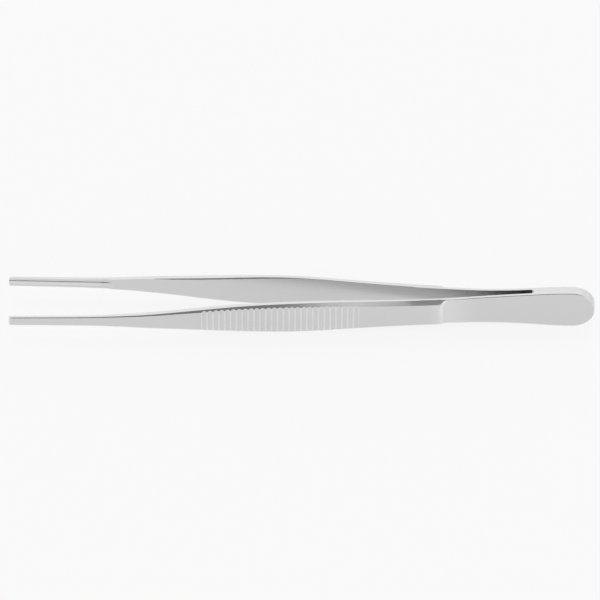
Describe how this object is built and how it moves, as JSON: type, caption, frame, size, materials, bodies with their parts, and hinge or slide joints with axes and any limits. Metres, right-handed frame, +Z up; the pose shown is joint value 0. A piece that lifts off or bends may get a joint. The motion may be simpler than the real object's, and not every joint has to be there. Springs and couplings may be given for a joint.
{
  "type": "thumb forceps",
  "caption": "Two-armed steel thumb forceps with narrow jaws that meet on a finely toothed ridge, a fluted finger grip on each arm and a welded spring heel, lying on its edges.",
  "frame": {"origin": "middle of the length and of the spread of the arms, on the surface that the forceps lies on", "axes": "+X along the forceps from the tips to the heel, +Y across the arms, +Z up from the surface, along the width of the arms"},
  "size_m": [0.18, 0.0224, 0.012],
  "materials": {
    "steel": "satin, fine bead-blasted stainless steel"
  },
  "bodies": {
    "root": {"near_arm": "steel", "far_arm": "steel"}
  },
  "joints": []
}
